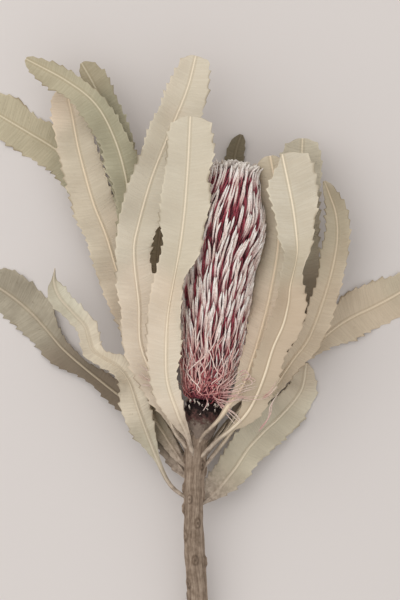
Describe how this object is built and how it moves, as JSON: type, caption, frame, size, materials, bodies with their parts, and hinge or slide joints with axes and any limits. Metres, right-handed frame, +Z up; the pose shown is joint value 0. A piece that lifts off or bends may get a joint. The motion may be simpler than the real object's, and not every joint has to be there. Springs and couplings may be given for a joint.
{
  "type": "banksia cone",
  "caption": "Dried banksia flower spike, silvery pink over dark red, on a cut woody stem, with long saw-toothed tan leaves fanned about it; it lies on its side.",
  "frame": {"origin": "middle of the bounding box in X and Y, on the table the part lies on (Z = 0)", "axes": "+X to the right of the picture, +Y along the stem from its cut end to the leaf tips, +Z up from the table towards the picture's camera"},
  "size_m": [0.2176, 0.3102, 0.0498],
  "materials": {
    "bark": "dry, ridged grey-brown bark",
    "bracts": "near-black, rough, with pale bract tips",
    "florets": "matt, silvery pink with dark red between",
    "leaf_tan": "matt dried leaf, pale tan",
    "leaf_olive": "matt dried leaf, olive tan",
    "leaf_brown": "matt dried leaf, shaded brown"
  },
  "bodies": {
    "root": {"stem": "bark", "receptacle": "bracts", "flower_spike": "florets", "leaf_front_left": "leaf_tan", "leaf_tall_left": "leaf_tan", "leaf_outer_left": "leaf_tan", "leaf_spike_right": "leaf_tan", "leaf_front_right": "leaf_tan", "leaf_low_left_front": "leaf_tan", "leaf_top_left": "leaf_olive", "leaf_top_behind": "leaf_olive", "leaf_far_left": "leaf_olive", "leaf_tall_right": "leaf_olive", "leaf_low_left_back": "leaf_brown", "leaf_mid_back": "leaf_brown", "leaf_spike_back": "leaf_brown", "leaf_outer_right": "leaf_brown", "leaf_far_right": "leaf_brown", "leaf_low_right": "leaf_brown"}
  },
  "joints": []
}
